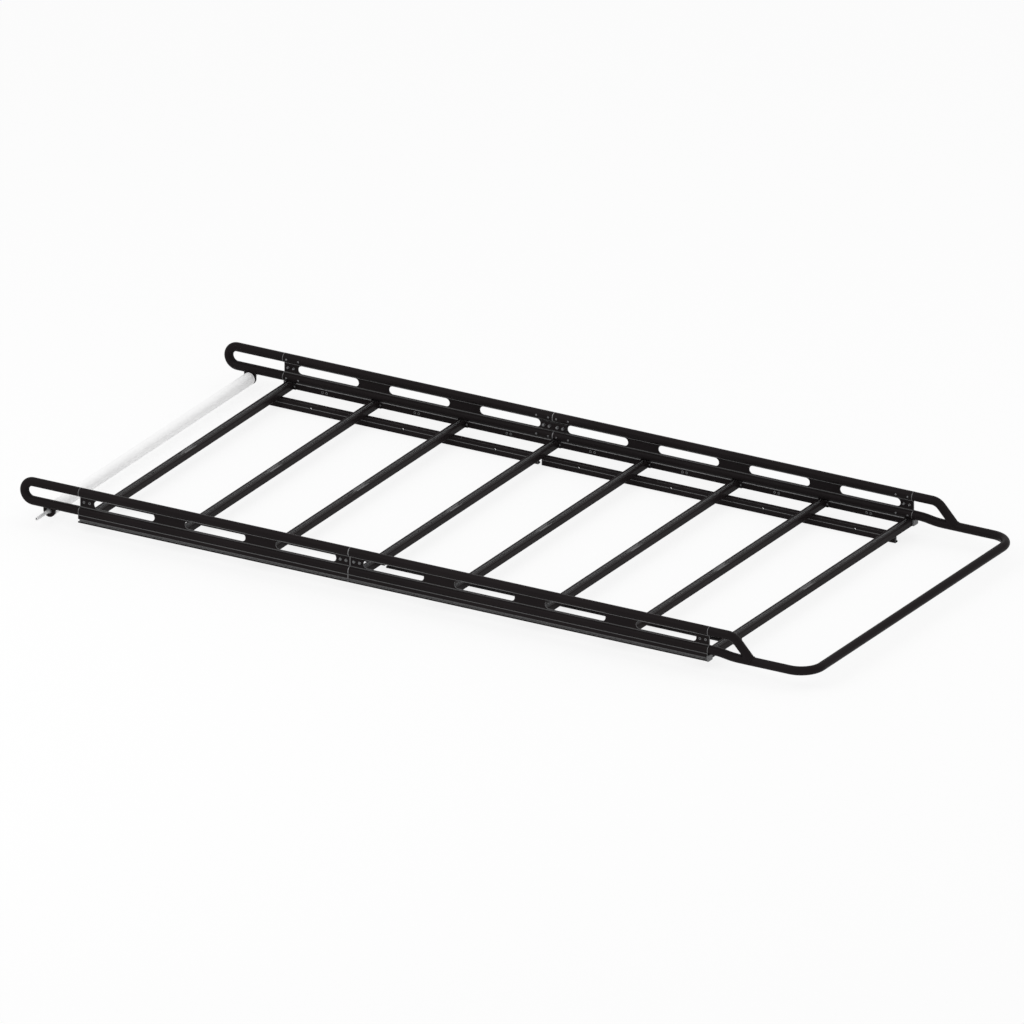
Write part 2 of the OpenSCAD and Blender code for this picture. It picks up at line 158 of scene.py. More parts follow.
class RackFinishes(bpy.types.PropertyGroup):
    """Colours and gloss of the rack's finishes."""

    coat: colour("Powder coat", "Colour of the black powder coat", (0.0125, 0.0102, 0.0107))
    # Colour of real edge wear, also used as a painted highlight along edges and in creases
    worn_coat_and_edge_highlight: colour("Rubbed and highlit edges", "Colour of the coat where an edge is rubbed thin", (0.11, 0.11, 0.112))
    # Painted light: a lighter colour painted into grooves, corners, slot walls and channels, where shade
    # falls
    hollow_light_colour: colour("Hollow light", "Colour in corners, which powder barely reaches", (0.3, 0.3, 0.303))
    coat_gloss: share("Coat roughness", "Roughness of the coat on the extrusions", 0.28)
    tube_gloss: share("Tube coat roughness", "Roughness of the coat on the steel tubes", 0.32)
    coat_reflection: share("Coat reflection", "Specular level of the coats", 0.025)
    edge_width: length("Edge width", "Width of the rubbed strip along an edge", 2 * MM)
    aluminium: colour("Bare aluminium", "Colour of the roller", (0.96, 0.96, 0.96))
    cut_aluminium: colour("Sawn ends", "Colour of the sawn ends of the extrusions", (0.22, 0.22, 0.225))
    bright_steel: colour("Bright steel", "Colour of the spindle", (0.93, 0.93, 0.935))
    dark_zinc: colour("Fasteners", "Colour of the fasteners", (0.2, 0.2, 0.205))
    bush: colour("Bushes", "Colour of the roller's bushes", (0.66, 0.66, 0.63))
    cap: colour("Foot caps", "Colour of the caps on the front ends of the feet", (0.115, 0.115, 0.118))


class RackFasteners(bpy.types.PropertyGroup):
    """Sizes of the fasteners and welds."""

    rim_length: length("Sawn rim", "Length of the bare rim at a sawn end", 1.4 * MM)
    rim_proud: length("Rim height", "How far the bare rim stands proud of the coat", 0.12 * MM)
    first_web_bolt: length("First web bolt", "Distance of the first bolt from the joint", 15.5 * MM)
    second_web_bolt: length("Second web bolt", "Distance of the second bolt from the joint", 38 * MM)
    bolt_d: length("Bolt", "Thread diameter of the web bolts", 6 * MM)
    first_tube_screw: length("First tube screw", "Distance from the end of a rail", 16 * MM)
    second_tube_screw: length("Second tube screw", "Distance from the end of a rail", 63 * MM)
    tube_screw_d: length("Tube screw head", "Diameter of the heads of the tube screws", 7.6 * MM)
    insert_flange_d: length("Insert flange", "Diameter of the flange of a threaded insert", 9.6 * MM)
    insert_wall: length("Insert wall", "Wall of a threaded insert", 0.8 * MM)
    insert_clearance: length("Insert clearance", "Gap between an insert and its hole", 0.05 * MM)
    insert_depth: length("Insert depth", "How far a closed insert reaches past its web", 7 * MM)
    ear_screw_d: length("Ear screw head", "Diameter of the screw heads on the bars' brackets", 6.4 * MM)
    clip_d: length("Spindle washer", "Outside diameter of the washers on the spindle", 19 * MM)
    clip_washer_t: length("Spindle washer thickness", "Thickness of those washers", 1.2 * MM)
    clip_t: length("Spindle clip", "Thickness of the clips outside those washers", 1.6 * MM)
    weld_r: length("Weld bead", "Radius of the weld beads", 2.4 * MM)
    brace_angle: angle("Brace angle", "Angle between a brace and the loop's side tube", 47.6)


class RackStudio(bpy.types.PropertyGroup):
    """Camera, lamps and floor."""

    azimuth: angle("Azimuth", "Direction of the camera round the rack", 30.04)
    elevation: angle("Elevation", "Height of the camera above the floor", 22.45)
    frame_width: length("Framed width", "Width that the camera takes in", 3.514)
    aim_left: length("Aim left", "How far left of the rack's centre the camera aims", 0.0254)
    aim_up: length("Aim up", "How far above the rack's centre the camera aims", 0.0854)
    distance: length("Distance", "Distance of the camera", 16.0)
    sight: length("Sight", "How far the camera sees", 100.0)
    floor: colour("Floor", "Colour of the floor", (0.93, 0.93, 0.93))
    floor_glow: share("Floor glow", "How far the floor is lifted to white, shadow and all", 0.8)
    floor_size: length("Floor size", "Width of the floor", 60.0)
    lamp_size: length("Lamp size", "Width of each lamp", 4.0)
    key_place: spot("Key lamp place", "Where the key lamp stands", (-2.5, -3.5, 4.5))
    key_power: power("Key lamp", "Power of the key lamp", 70)
    fill_place: spot("Fill lamp place", "Where the fill lamp stands", (4.5, 2.5, 3.5))
    fill_power: power("Fill lamp", "Power of the fill lamp", 30)
    sky: bpy.props.FloatProperty(name="Sky", description="Strength of the light from all round", default=0.85)


# Node trees


class Level:
    """A socket that can be used in sums, so that a pattern reads as arithmetic."""

    def __init__(self, nodes, socket):
        self.nodes = nodes
        self.socket = socket

    def reckon(self, operation, *operands):
        return self.nodes.node("ShaderNodeMath", {"operation": operation}, dict(enumerate(operands)))

    def __add__(self, other):
        return self.reckon("ADD", self, other)

    def __radd__(self, other):
        return self.reckon("ADD", other, self)

    def __sub__(self, other):
        return self.reckon("SUBTRACT", self, other)

    def __rsub__(self, other):
        return self.reckon("SUBTRACT", other, self)

    def __mul__(self, other):
        return self.reckon("MULTIPLY", self, other)

    def __rmul__(self, other):
        return self.reckon("MULTIPLY", other, self)

    def __abs__(self):
        return self.reckon("ABSOLUTE", self)

    def sign(self):
        return self.reckon("SIGN", self)

    def at_most(self, limit):
        return self.reckon("MINIMUM", self, limit)

    def nearest(self, places):
        """Distance to the nearest of some places."""
        nearest, *others = [abs(self - place) for place in places]
        for other in others:
            nearest = nearest.at_most(other)
        return nearest

    def between(self, low, high):
        """0 below low, 1 above high and smooth between them."""
        return self.nodes.node(
            "ShaderNodeMapRange",
            {"interpolation_type": "SMOOTHSTEP"},
            {"Value": self, "From Min": low, "From Max": high},
        )

    def within(self, low, high, soft=0.15 * MM):
        """1 between two values and 0 outside them, with soft ends."""
        return self.between(low - soft, low + soft) * (1 - self.between(high - soft, high + soft))


class Nodes:
    """A node tree that is built up from nodes and the values or links of their sockets."""

    def __init__(self, tree):
        self.tree = tree
        self.tree.nodes.clear()

    def feed(self, socket, value):
        if isinstance(value, Level):
            self.tree.links.new(value.socket, socket)
        elif hasattr(socket.default_value, "__len__") and len(socket.default_value) == 4:
            socket.default_value = (*value, 1)
        else:
            socket.default_value = value

    def node(self, kind, settings=None, inputs=None, output=0):
        made = self.tree.nodes.new(kind)
        for name, value in (settings or {}).items():
            setattr(made, name, value)
        for name, value in (inputs or {}).items():
            self.feed(made.inputs[name], value)
        return Level(self, made.outputs[output]) if made.outputs else None


class Finish(Nodes):
    """A node material that is built up from a surface shader."""

    def __init__(self, name, **surface):
        self.material = bpy.data.materials.new(name)
        self.material.use_nodes = True
        super().__init__(self.material.node_tree)
        self.shader = self.tree.nodes.new("ShaderNodeBsdfPrincipled")
        self.lit = Level(self, self.shader.outputs["BSDF"])
        self.output = self.tree.nodes.new("ShaderNodeOutputMaterial")
        self.surface(self.lit)
        for socket, value in surface.items():
            self.set(socket.replace("_", " "), value)

    def surface(self, shading):
        self.feed(self.output.inputs["Surface"], shading)

    def set(self, name, value):
        self.feed(self.shader.inputs[name], value)

    def seen_rays(self):
        """1 where a surface is seen by the camera, in a reflection or through glass."""
        kinds = ("Is Camera Ray", "Is Glossy Ray", "Is Transmission Ray")
        camera, glossy, through = [self.node("ShaderNodeLightPath", output=kind) for kind in kinds]
        return (camera + glossy + through).at_most(1)

    def place(self, stretch=(1, 1, 1)):
        """Object coordinates, with a pattern drawn out along the axes whose stretch is small."""
        coordinates = self.node("ShaderNodeTexCoord", output="Object")
        return self.node("ShaderNodeMapping", inputs={"Vector": coordinates, "Scale": stretch})

    def along(self, axis):
        """Object coordinate along one axis."""
        return self.node("ShaderNodeSeparateXYZ", inputs={"Vector": self.place()}, output=axis)

    def flat_normal(self):
        return self.node("ShaderNodeNewGeometry", output="True Normal")

    def facing_left(self):
        """How far a surface faces along +Y, the left of the rack."""
        return self.node("ShaderNodeSeparateXYZ", inputs={"Vector": self.flat_normal()}, output="Y")

    def noise(self, scale, detail=2.0, roughness=0.5, stretch=(1, 1, 1)):
        inputs = {"Vector": self.place(stretch), "Scale": scale, "Detail": detail, "Roughness": roughness}
        return self.node("ShaderNodeTexNoise", inputs=inputs)

    def mix(self, factor, first, second):
        inputs = {0: factor, 6: first, 7: second}
        return self.node("ShaderNodeMix", {"data_type": "RGBA"}, inputs, output=2)

    def edges(self, width):
        """1 along the edges of a piece and 0 on its faces."""
        rounded = self.node("ShaderNodeBevel", {"samples": 6}, {"Radius": width})
        normals = {0: rounded, 1: self.flat_normal()}
        alike = self.node("ShaderNodeVectorMath", {"operation": "DOT_PRODUCT"}, normals, output="Value")
        return (1 - alike).between(0.03, 0.2)

    def bump(self, height, distance, strength=1.0):
        inputs = {"Height": height, "Distance": distance, "Strength": strength}
        self.set("Normal", self.node("ShaderNodeBump", inputs=inputs))


# Painted light: a lighter colour painted into the extrusions' grooves, corners and slot walls and into the
# bars' channels, where shade falls


class Strip(NamedTuple):
    """Part of a rail's section, up from the foot's bottom and out from the rail's centre plane."""

    bottom: float
    top: float
    inner: float
    outer: float
    painted_light: float


class Band(NamedTuple):
    """Stretch between two distances from an edge or a corner."""

    near: float
    far: float
    painted_light: float


# Strips and bands where a lighter colour is painted over the shade in grooves, corners, slot walls and drill
# lines
FOOT_STRIPS = {
    "accessory groove": Strip(2.2 * MM, 16.8 * MM, 6.3 * MM, 15.5 * MM, painted_light=0.85),
    "lip of the groove": Strip(13.3 * MM, 14.7 * MM, 15.6 * MM, 17 * MM, painted_light=0.3),
    "outer corner under the bulge": Strip(27.3 * MM, 29.2 * MM, 10 * MM, 20 * MM, painted_light=0.45),
    "inner corner under the bulge": Strip(20.6 * MM, 24.4 * MM, -20 * MM, -5 * MM, painted_light=1.0),
}
UNDER_UPPER_BULGE = Band(-0.9 * MM, 2.8 * MM, painted_light=0.64)
OVER_LOWER_BULGE = Band(-0.7 * MM, 1.6 * MM, painted_light=0.36)
BEARER_DRILL_LINE = Band(12.4 * MM, 14.6 * MM, painted_light=0.55)
SLOT_WALL_INSET = 0.35 * MM
SLOT_WALL_PAINTED_LIGHT = 0.64
BAR_CHANNEL_DEPTHS = (0.5 * MM, 9.8 * MM)
BAR_CHANNEL_HALF_WIDTH = 9.3 * MM


def rail_hollow_light(finish):
    """How much lighter colour is painted over the shade in the rails' grooves, corners and slot walls, and in
    the bearers' drill lines.
    """
    rail = rail_places("left")
    web_half = abs(rail.web_outer - rail.web_inner) / 2
    web_reach = math.sqrt(rail.bulge_r**2 - web_half**2)
    bearer_low, bearer_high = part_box("left_bearer_rear")
    y = finish.along("Y")
    z = finish.along("Z")
    outwards = abs(y) - rail.y
    over_foot = z - rail.foot_z
    in_foot = sum(
        strip.painted_light * over_foot.within(strip.bottom, strip.top) * outwards.within(strip.inner, strip.outer)
        for strip in FOOT_STRIPS.values()
    )
    web_corners = sum(
        band.painted_light * from_bulge.within(web_reach + band.near, web_reach + band.far)
        for band, from_bulge in ((UNDER_UPPER_BULGE, rail.high_z - z), (OVER_LOWER_BULGE, z - rail.low_z))
    )
    in_web = z.within(rail.low_z + web_reach, rail.high_z - web_reach)
    slot_walls = in_web * abs(outwards).within(-MM, web_half - SLOT_WALL_INSET)
    facing_in = (finish.facing_left() * y.sign()).within(-2, -0.1)
    on_bearer = z.within(bearer_low.z, rail.foot_z) * facing_in
    drill_lines = on_bearer * (bearer_high.z - z).within(BEARER_DRILL_LINE.near, BEARER_DRILL_LINE.far)
    walls_and_lines = SLOT_WALL_PAINTED_LIGHT * slot_walls + BEARER_DRILL_LINE.painted_light * drill_lines
    return in_foot + web_corners + walls_and_lines


def bar_channel_light(finish):
    """1 inside the channels along the tops of the cross bars, where a lighter colour is painted over the
    shade.
    """
    bars = [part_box(f"cross_bar_{number}") for number in range(1, BAR_COUNT + 1)]
    bar_top = bars[0][1].z
    sideways = finish.along("X").nearest([middle(low, high, 0) for low, high in bars])
    depth = bar_top - finish.along("Z")
    return sideways.within(-MM, BAR_CHANNEL_HALF_WIDTH) * depth.within(*BAR_CHANNEL_DEPTHS)


# Finishes


def toned(paint, factor):
    """A colour made darker, or lighter up to white."""
    return tuple(min(1, channel * factor) for channel in paint)


def powder_coat(name, settings, roughness, grain, draw=(1, 1, 1), hollow_light_mask=None, wear=1.0):
    """Black coat with a fine orange-peel texture, a little dust, painted light in its hollows, and worn edges
    that also carry a painted edge highlight.
    """
    finish = Finish(name, Specular_IOR_Level=settings.coat_reflection)
    patches = finish.noise(scale=3.5, detail=4)
    peel = finish.noise(scale=grain, detail=3, roughness=0.6)
    lines = finish.noise(scale=90, detail=3, roughness=0.7, stretch=draw)
    edges = finish.edges(wear * settings.edge_width)
    # Edge wear, widened into a painted highlight along edges and in creases
    rubbed_and_highlit = edges * finish.noise(scale=55, detail=3).between(0.2, 0.6) * 0.85
    coat = finish.mix(patches.between(0.4, 0.75) * 0.4, settings.coat, toned(settings.coat, 1.6))
    if hollow_light_mask:
        # Painted light: a lighter colour painted into grooves, corners and channels, to lift the shade that
        # falls there
        coat = finish.mix(hollow_light_mask(finish) * (0.85 + 0.4 * (lines - 0.5)), coat, settings.hollow_light_colour)
    finish.set("Base Color", finish.mix(rubbed_and_highlit, coat, settings.worn_coat_and_edge_highlight))
    finish.set("Roughness", roughness + 0.1 * (patches - 0.5) + 0.08 * (lines - 0.5) + 0.1 * rubbed_and_highlit)
    finish.bump(peel + 0.4 * lines, distance=0.05 * MM)
    return finish.material


def coated_extrusion(name, settings):
    along_rail = (0.02, 1, 1)
    gloss = settings.coat_gloss
    return powder_coat(name, settings, gloss, grain=900, draw=along_rail, hollow_light_mask=rail_hollow_light)


def coated_bar(name, settings):
    along_bar = (1, 0.02, 1)
    gloss = settings.coat_gloss
    return powder_coat(name, settings, gloss, grain=900, draw=along_bar, hollow_light_mask=bar_channel_light)


def coated_tube(name, settings):
    return powder_coat(name, settings, settings.tube_gloss, grain=650)


def coated_plate(name, settings):
    return powder_coat(name, settings, settings.tube_gloss, grain=650, wear=1.6)


def sawn_aluminium(name, settings):
    """Bare cut face with the fine marks of a saw."""
    finish = Finish(name, Metallic=0.35)
    marks = finish.noise(scale=400, detail=3, stretch=(0.2, 1, 3))
    bare = settings.cut_aluminium
    finish.set("Base Color", finish.mix(marks.between(0.3, 0.7), toned(bare, 0.6), bare))
    finish.set("Roughness", 0.38 + 0.2 * (marks - 0.5))
    finish.bump(marks, distance=0.05 * MM)
    return finish.material


def satin_aluminium(name, settings):
    """Pale roller skin with the lines of its drawing and turning and a few dull patches."""
    finish = Finish(name, Metallic=0.05, Specular_IOR_Level=0.4)
    turned = finish.noise(scale=60, detail=4, roughness=0.7, stretch=(1, 14, 1))
    drawn = finish.noise(scale=220, detail=2, stretch=(1, 0.02, 1))
    patches = finish.noise(scale=4, detail=4)
    dull = patches.between(0.4, 0.8) * 0.6 + 0.2 * turned
    finish.set("Base Color", finish.mix(dull, settings.aluminium, toned(settings.aluminium, 0.95)))
    finish.set("Roughness", 0.4 + 0.12 * (patches - 0.5) + 0.1 * (turned - 0.5))
    finish.bump(0.6 * turned + 0.4 * drawn, distance=0.03 * MM)
    return finish.material


def drawn_steel(name, settings):
    """Bright drawn bar with faint lines along it."""
    finish = Finish(name, Metallic=0.15)
    drawn = finish.noise(scale=300, detail=3, stretch=(1, 0.03, 1))
    bright = settings.bright_steel
    finish.set("Base Color", finish.mix(drawn.between(0.3, 0.75), toned(bright, 0.72), bright))
    finish.set("Roughness", 0.28 + 0.15 * (drawn - 0.5))
    finish.bump(drawn, distance=0.03 * MM)
    return finish.material


def dark_zinc(name, settings):
    """Dark plated fasteners, brighter where a spanner has touched them."""
    finish = Finish(name, Metallic=0.75)
    mottle = finish.noise(scale=500, detail=3)
    touched = finish.edges(settings.edge_width / 3) * finish.noise(scale=180).between(0.3, 0.6)
    zinc = settings.dark_zinc
    plated = finish.mix(mottle.between(0.35, 0.7), toned(zinc, 0.7), zinc)
    finish.set("Base Color", finish.mix(touched, plated, toned(zinc, 2.4)))
    finish.set("Roughness", 0.34 + 0.15 * (mottle - 0.5))
    finish.bump(mottle, distance=0.03 * MM)
    return finish.material


def moulded_plastic(name, paint, edge_width):
    """Plastic with a fine moulded grain and slightly paler edges."""
    finish = Finish(name)
    grain = finish.noise(scale=700, detail=2)
    moulded = finish.mix(grain.between(0.3, 0.7) * 0.5, paint, toned(paint, 0.85))
    finish.set("Base Color", finish.mix(0.7 * finish.edges(edge_width), moulded, toned(paint, 1.5)))
    finish.set("Roughness", 0.5 + 0.15 * (grain - 0.5))
    finish.bump(grain, distance=0.04 * MM)
    return finish.material


def bush_plastic(name, settings):
    return moulded_plastic(name, settings.bush, settings.edge_width)


def cap_plastic(name, settings):
    return moulded_plastic(name, settings.cap, settings.edge_width)


def coated_weld(name, settings):
    """Weld bead under the same black coat, a little rougher than the tubes."""
    finish = Finish(name, Specular_IOR_Level=settings.coat_reflection)
    spatter = finish.noise(scale=650, detail=4, roughness=0.7)
    dusty = spatter.between(0.4, 0.7) * 0.6
    finish.set("Base Color", finish.mix(dusty, settings.coat, toned(settings.coat, 2)))
    finish.set("Roughness", settings.tube_gloss + 0.2 * (spatter - 0.5))
    finish.bump(spatter, distance=0.15 * MM)
    return finish.material


def white_floor(studio):
    """Pale matt floor that is seen as nearly white and keeps the rack's shadow."""
    finish = Finish("studio floor", Roughness=0.9, Specular_IOR_Level=0.0)
    cloudy = finish.noise(scale=0.6, detail=2)
    finish.set("Base Color", finish.mix(cloudy, studio.floor, toned(studio.floor, 0.99)))
    seen = finish.seen_rays() * studio.floor_glow
    glow = finish.node("ShaderNodeEmission", inputs={"Color": WHITE, "Strength": 1.0})
    finish.surface(finish.node("ShaderNodeMixShader", inputs={0: seen, 1: finish.lit, 2: glow}))
    return finish.material


FINISHES = {
    "coated extrusion": coated_extrusion,
    "coated bar": coated_bar,
    "coated tube": coated_tube,
    "coated plate": coated_plate,
    "sawn aluminium": sawn_aluminium,
    "satin aluminium": satin_aluminium,
    "drawn steel": drawn_steel,
    "dark zinc": dark_zinc,
    "bush plastic": bush_plastic,
    "cap plastic": cap_plastic,
    "coated weld": coated_weld,
}


def finish_named(name):
    """The material of a finish, made the first time that it is asked for."""
    if name in bpy.data.materials:
        return bpy.data.materials[name]
    return FINISHES[name](name, bpy.context.scene.rack_finishes)


def paint_nodes(nodes, finish):
    for name in nodes:
        piece = frame["nodes"][name]
        piece.data.materials.clear()
        piece.data.materials.append(finish_named(finish))


# Shapes


def lathe(outline, sides=24, hexagon_r=None):
    """A closed solid from an outline of (radius, height) points, turned about Z.

    Points that lie at hexagon_r are drawn in to the flats of a hexagon, for a key's socket.
    """
    shape = bmesh.new()
    points = [shape.verts.new((radius, 0, height)) for radius, height in outline]
    for first, second in zip(points, points[1:]):
        shape.edges.new((first, second))
    bmesh.ops.spin(
        shape,
        geom=shape.verts[:] + shape.edges[:],
        cent=(0, 0, 0),
        axis=UP,
        angle=math.tau,
        steps=sides,
        use_merge=True,
    )
    bmesh.ops.remove_doubles(shape, verts=shape.verts, dist=0.001 * MM)
    if hexagon_r:
        draw_to_hexagon(shape, hexagon_r)
    bmesh.ops.recalc_face_normals(shape, faces=shape.faces)
    return shape


def draw_to_hexagon(shape, hexagon_r):
    half_side = math.radians(30)
    for point in shape.verts:
        if abs(point.co.xy.length - hexagon_r) < 0.02 * MM:
            turn = math.atan2(point.co.y, point.co.x) % (2 * half_side) - half_side
            flat = math.cos(half_side) / math.cos(turn)
            point.co.x *= flat
            point.co.y *= flat


def button_head(head_d, height, socket_d, sides=24):
    """Domed screw head with a hexagon socket, standing on z = 0."""
    r = head_d / 2
    socket_r = socket_d / 2
    rim = 0.3 * height
    dome = [(r, 0), (r, rim), (0.9 * r, 0.68 * height), (0.7 * r, 0.92 * height)]
    socket = [(0.98 * (socket_r + 0.1 * r), height), (socket_r, height), (socket_r, 0.35 * height)]
    return lathe([(0, 0), *dome, *socket, (0, rim)], sides, hexagon_r=socket_r)


def washer(outer_d, inner_d, thickness, sides=24):
    outer = outer_d / 2
    inner = inner_d / 2
    edge = 0.25 * thickness
    outline = [
        (inner, 0),
        (outer - edge, 0),
        (outer, edge),
        (outer, thickness - edge),
        (outer - edge, thickness),
        (inner, thickness),
        (inner, 0),
    ]
    return lathe(outline, sides)


def lock_nut(thread_d, across_flats, height):
    """Hexagon nut with chamfered corners, the collar of its locking ring and the end of the bolt."""
    corner_r = across_flats / 2 / math.cos(math.radians(30))
    face_r = 0.93 * corner_r
    chamfer = 0.12 * height
    body = 0.7 * height
    ring_r = across_flats * 0.46
    thread_r = thread_d / 2
    mouth_r = 1.1 * thread_r
    mouth = 0.9 * height
    bolt_end = 1.18 * height
    hexagon = [(face_r, 0), (corner_r, chamfer), (corner_r, body - chamfer), (face_r, body)]
    collar = [(ring_r, body), (ring_r, 0.93 * height), (0.9 * ring_r, height), (mouth_r, height)]
    bolt = [(mouth_r, mouth), (thread_r, mouth), (thread_r, 1.12 * height), (0.85 * thread_r, bolt_end)]
    nut = lathe([(0, 0), *hexagon, (0, body)], sides=6)
    return join([nut, lathe([(0, body), *collar, *bolt, (0, bolt_end)], sides=20)])


def closed_insert(sizes, hole_d, web_t):
    """Blind threaded insert: its flange stands on z = 0 and its swollen body closes behind the web."""
    body_r = hole_d / 2 - sizes.insert_clearance
    thread_r = body_r - sizes.insert_wall
    flange_r = sizes.insert_flange_d / 2
    flange_t = 0.2 * flange_r
    chamfer = 0.4 * flange_t
    swelling = 0.5 * flange_r
    end = -web_t - sizes.insert_depth
    floor = end + sizes.insert_wall
    outline = [
        (0, end),
        (0.85 * body_r, end),
        (body_r, end + 0.15 * body_r),
        (body_r, -web_t - swelling),
        (0.9 * flange_r, -web_t - 0.7 * swelling),
        (0.95 * flange_r, -web_t - 0.35 * swelling),
        (0.88 * flange_r, -web_t),
        (body_r, -web_t),
        (body_r, 0),
        (flange_r, 0),
        (flange_r, flange_t - chamfer),
        (flange_r - chamfer, flange_t),
        (thread_r + chamfer, flange_t),
        (thread_r, flange_t - chamfer),
        (thread_r, floor),
        (0, floor),
    ]
    return lathe(outline, sides=20)


def join(shapes):
    """Several shapes as one."""
    joined = bmesh.new()
    for shape in shapes:
        part = bpy.data.meshes.new("part")
        shape.to_mesh(part)
        shape.free()
        joined.from_mesh(part)
        bpy.data.meshes.remove(part)
    return joined


def lifted(shape, height):
    bmesh.ops.translate(shape, verts=shape.verts, vec=(0, 0, height))
    return shape


def facing(at, direction):
    """The place of a shape whose own Z is to point in a direction."""
    return Matrix.Translation(at) @ Vector(direction).to_track_quat("Z", "Y").to_matrix().to_4x4()


def copies(shape, places):
    """One small shape repeated at each place."""
    model = bpy.data.meshes.new("model")
    shape.to_mesh(model)
    shape.free()
    joined = bmesh.new()
    for place in places:
        before = len(joined.verts)
        joined.from_mesh(model)
        joined.verts.ensure_lookup_table()
        bmesh.ops.transform(joined, matrix=place, verts=joined.verts[before:])
    bpy.data.meshes.remove(model)
    return joined


def sweep(rings, sides=10, closed=False):
    """A bead through rings of (centre, direction, side, radius), bridged one to the next."""
    bead = bmesh.new()
    loops = []
    for centre, direction, side, radius in rings:
        z = direction.normalized()
        x = (side - side.dot(z) * z).normalized()
        turned = Matrix((x, z.cross(x), z)).transposed().to_4x4()
        place = Matrix.Translation(centre) @ turned
        made = bmesh.ops.create_circle(bead, segments=sides, radius=radius, matrix=place)
        loops.append(ring_edges(made["verts"]))
    pairs = list(zip(loops, loops[1:]))
    if closed:
        pairs.append((loops[-1], loops[0]))
    for first, second in pairs:
        bmesh.ops.bridge_loops(bead, edges=first + second)
    if not closed:
        for loop in (loops[0], loops[-1]):
            bmesh.ops.holes_fill(bead, edges=loop, sides=0)
    bmesh.ops.recalc_face_normals(bead, faces=bead.faces)
    return bead


def ring_edges(verts):
    return list({edge for vert in verts for edge in vert.link_edges})


def slice_of(node, start, end, proud):
    """A thin slice of a node between two places along X, grown outwards by a hair."""
    part = bmesh.new()
    part.from_mesh(frame["nodes"][node].data)
    bmesh.ops.remove_doubles(part, verts=part.verts, dist=0.002 * MM)
    for x, normal in ((start, (-1, 0, 0)), (end, (1, 0, 0))):
        cut = bmesh.ops.bisect_plane(
            part,
            geom=part.verts[:] + part.edges[:] + part.faces[:],
            dist=0.001 * MM,
            plane_co=(x, 0, 0),
            plane_no=normal,
            clear_outer=True,
        )
        edges = [item for item in cut["geom_cut"] if isinstance(item, bmesh.types.BMEdge)]
        rim = [edge for edge in edges if edge.is_boundary]
        if rim:
            bmesh.ops.triangle_fill(part, edges=rim, use_beauty=True, use_dissolve=False)
    bmesh.ops.recalc_face_normals(part, faces=part.faces)
    part.normal_update()
    moves = []
    for point in part.verts:
        sideways = Vector((0, point.normal.y, point.normal.z))
        moves.append((point, sideways.normalized() * proud if sideways.length > 0.01 else sideways * 0))
    for point, move in moves:
        point.co += move
    return part


def add_piece(name, shape, finish, body=RACK, smooth_angle=35):
    """Makes a shape a piece of the rack that moves with a body."""
    mesh = bpy.data.meshes.new(name)
    shape.to_mesh(mesh)
    shape.free()
    for face in mesh.polygons:
        face.use_smooth = True
    mesh.set_sharp_from_angle(angle=math.radians(smooth_angle))
    mesh.materials.append(finish_named(finish))
    piece = bpy.data.objects.new(name, mesh)
    bpy.context.scene.collection.objects.link(piece)
    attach(piece, body)
    return piece


def add_fasteners(name, shape, places):
    add_piece(name, copies(shape, places), "dark zinc")


def add_weld(name, bead):
    add_piece(name, bead, "coated weld", smooth_angle=60)


# Pieces, one operator each


class RACK_OT_finishes(bpy.types.Operator):
    """Give every piece of the frame its finish"""

    bl_idname = "rack.finishes"
    bl_label = "Finishes"

    def execute(self, context):
        names = list(frame["nodes"])
        extrusions = [name for name in names if "side_rail" in name or "bearer" in name]
        bars = [name for name in names if name.startswith("cross_bar")]
        caps = [name for name in names if name.endswith("foot_cap")]
        plates = [name for name in names if name.endswith("_plate")]
        roller = {
            "roller_tube": "satin aluminium",
            "roller_spindle": "drawn steel",
            "roller_bushes": "bush plastic",
        }
        others = [*extrusions, *bars, *caps, *plates, *roller]
        paint_nodes(extrusions, "coated extrusion")
        paint_nodes(bars, "coated bar")
        paint_nodes([name for name in names if name not in others], "coated tube")
        paint_nodes(plates, "coated plate")
        paint_nodes(caps, "cap plastic")
        for name, finish in roller.items():
            paint_nodes([name], finish)
        return {"FINISHED"}


class RACK_OT_sawn_ends(bpy.types.Operator):
    """Bare rims at the sawn ends of the rails and bearers"""

    bl_idname = "rack.sawn_ends"
    bl_label = "Sawn Ends"

    def execute(self, context):
        sizes = context.scene.rack_fasteners
        for side in SIDES:
            for half in RAIL_HALVES:
                for node in (f"{side}_side_rail_{half}", f"{side}_bearer_{half}"):
                    low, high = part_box(node)
                    ends = [
                        slice_of(node, low.x, low.x + sizes.rim_length, sizes.rim_proud),
                        slice_of(node, high.x - sizes.rim_length, high.x, sizes.rim_proud),
                    ]
                    add_piece(f"{node}_sawn_ends", join(ends), "sawn aluminium")
        return {"FINISHED"}


class RACK_OT_joint_bolts(bpy.types.Operator):
    """Bolts, washers and lock nuts through the webs and joint plates"""

    bl_idname = "rack.joint_bolts"
    bl_label = "Joint Bolts"

    def execute(self, context):
        sizes = context.scene.rack_fasteners
        d = sizes.bolt_d
        washer_t = d / 4
        offsets = [sign * x for sign in (-1, 1) for x in (sizes.first_web_bolt, sizes.second_web_bolt)]
        for side in SIDES:
            rail = rail_places(side)
            z = (rail.low_z + rail.high_z) / 2
            outside = [facing((rail.joint + x, rail.web_outer, z), (0, rail.out, 0)) for x in offsets]
            inside = [facing((rail.joint + x, rail.plate_inner, z), (0, -rail.out, 0)) for x in offsets]
            head = button_head(head_d=1.75 * d, height=0.55 * d, socket_d=0.66 * d)
            nut = lock_nut(thread_d=d, across_flats=1.66 * d, height=d)
            heads = join([washer(2 * d, d, washer_t), lifted(head, washer_t)])
            nuts = join([washer(2 * d, d, washer_t), lifted(nut, washer_t)])
            add_fasteners(f"{side}_joint_bolt_heads", heads, outside)
            add_fasteners(f"{side}_joint_bolt_nuts", nuts, inside)
        return {"FINISHED"}


